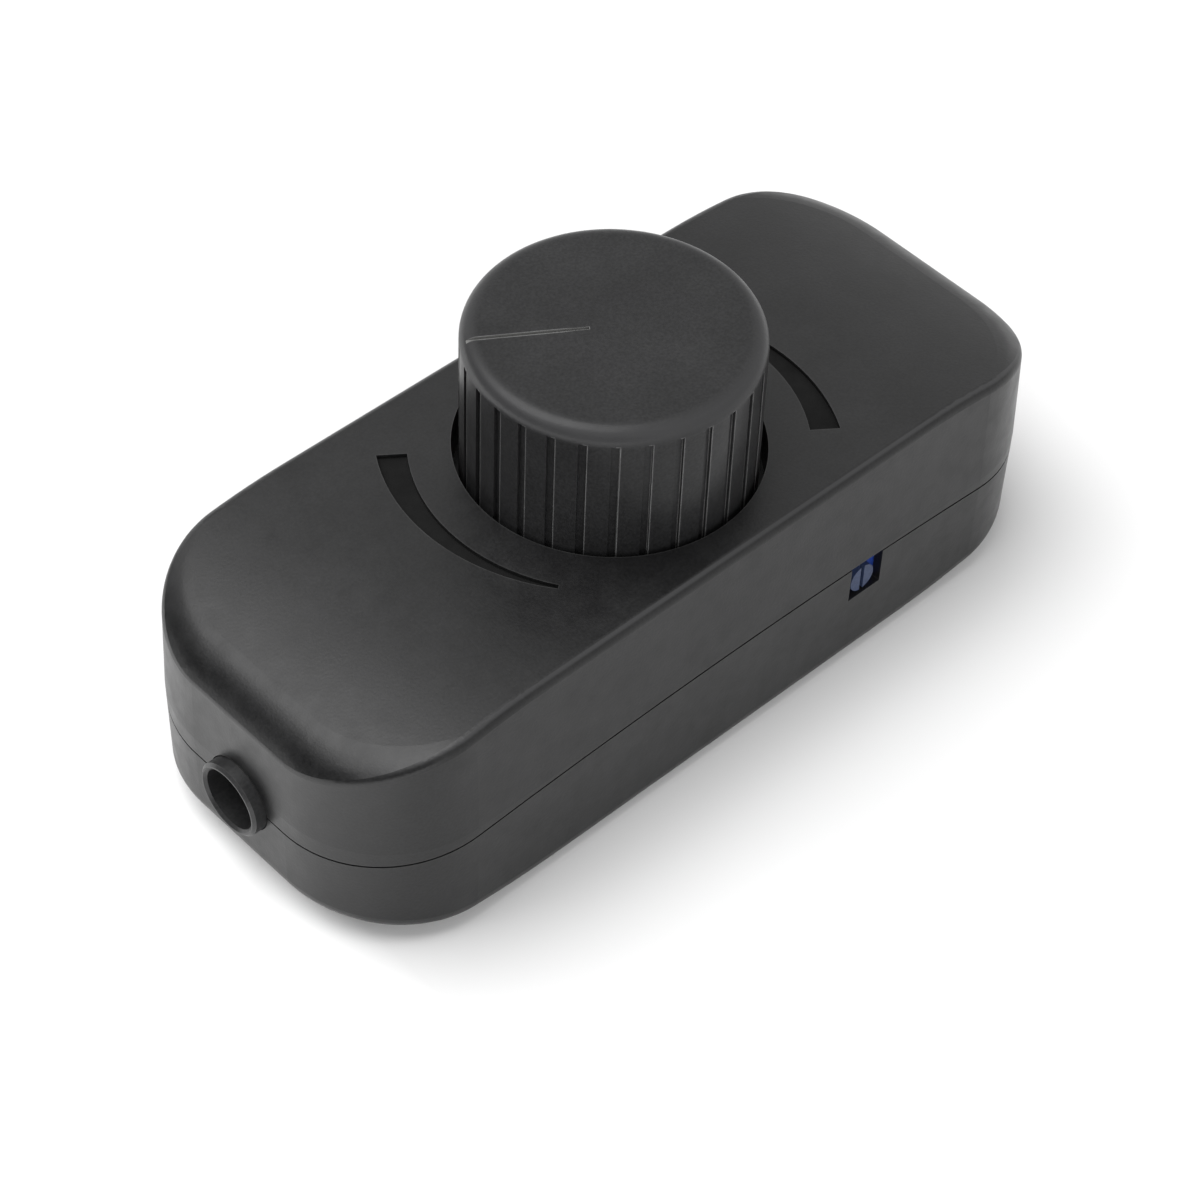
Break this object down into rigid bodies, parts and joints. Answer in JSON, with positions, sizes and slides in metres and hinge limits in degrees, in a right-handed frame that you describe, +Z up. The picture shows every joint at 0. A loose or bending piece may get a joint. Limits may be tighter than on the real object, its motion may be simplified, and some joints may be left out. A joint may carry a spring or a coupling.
{
  "type": "in-line rotary dimmer switch",
  "caption": "Long rounded black in-line dimmer with a large grooved knob on top, tapered arc marks beside it, a round cable inlet at each end and a small trimmer window in one side.",
  "frame": {"origin": "middle of the flat foot that the switch rests on", "axes": "+X along the length, +Y away from the side with the trimmer window, +Z up through the knob"},
  "size_m": [0.1, 0.0402, 0.0439],
  "materials": {
    "cover_plastic": "fine moulded texture, black",
    "knob_plastic": "smooth moulded black",
    "bushing_plastic": "moulded black",
    "clamp_plastic": "moulded dark grey",
    "screw_steel": "zinc plated",
    "nickel": "nickel plated",
    "brass": "turned",
    "aluminium": "drawn",
    "board_laminate": "green solder mask",
    "phenolic": "brown laminate",
    "track_carbon": "printed carbon",
    "rotor_plastic": "natural acetal",
    "switch_plastic": "moulded black",
    "terminal_plastic": "moulded green",
    "triac_epoxy": "moulded epoxy",
    "film_box": "moulded box",
    "can_sleeve": "shrunk sleeve",
    "fuse_body": "moulded cap",
    "ferrite": "sintered ferrite",
    "copper_wire": "enamelled wire",
    "resistor_body": "lacquered",
    "diac_glass": "lacquered",
    "trimmer_blue": "moulded blue",
    "trimmer_white": "moulded"
  },
  "bodies": {
    "housing": {"upper_cover": "cover_plastic", "lower_cover": "cover_plastic", "housing_screws": "screw_steel", "cable_bushing_left": "bushing_plastic", "cable_bushing_right": "bushing_plastic", "cable_clamp_left": "clamp_plastic", "cable_clamp_right": "clamp_plastic", "clamp_screws": "screw_steel", "circuit_board": "board_laminate", "terminal_block_left": "terminal_plastic", "terminal_block_right": "terminal_plastic", "terminal_screws": "screw_steel", "pot_case": "nickel", "threaded_bushing": "brass", "flat_washer": "nickel", "hex_nut": "nickel", "resistance_track": "track_carbon", "terminal_plate": "phenolic", "pot_terminals": "brass", "switch_case": "switch_plastic", "switch_contacts": "brass", "heat_sink": "aluminium", "triac": "triac_epoxy", "heat_sink_screw": "screw_steel", "film_capacitor": "film_box", "electrolytic_capacitor": "can_sleeve", "fuse": "fuse_body", "choke_core": "ferrite", "choke_winding": "copper_wire", "resistors": "resistor_body", "diac": "diac_glass", "trimmer_body": "trimmer_blue"},
    "knob_shaft": {"knob": "knob_plastic", "pot_shaft": "aluminium", "wiper_rotor": "rotor_plastic", "switch_cam": "rotor_plastic"},
    "trimmer": {"trimmer_rotor": "trimmer_white"}
  },
  "joints": [
    {"name": "knob_turn", "type": "hinge", "parent": "housing", "child": "knob_shaft", "pos_m": [0, 0, 0.0281], "axis": [0, 0, 1], "range_deg": [-206.5, 93.5]},
    {"name": "trimmer_turn", "type": "hinge", "parent": "housing", "child": "trimmer", "pos_m": [0.018, -0.01885, 0.0112], "axis": [0, -1, 0], "range_deg": [-130, 130]}
  ]
}
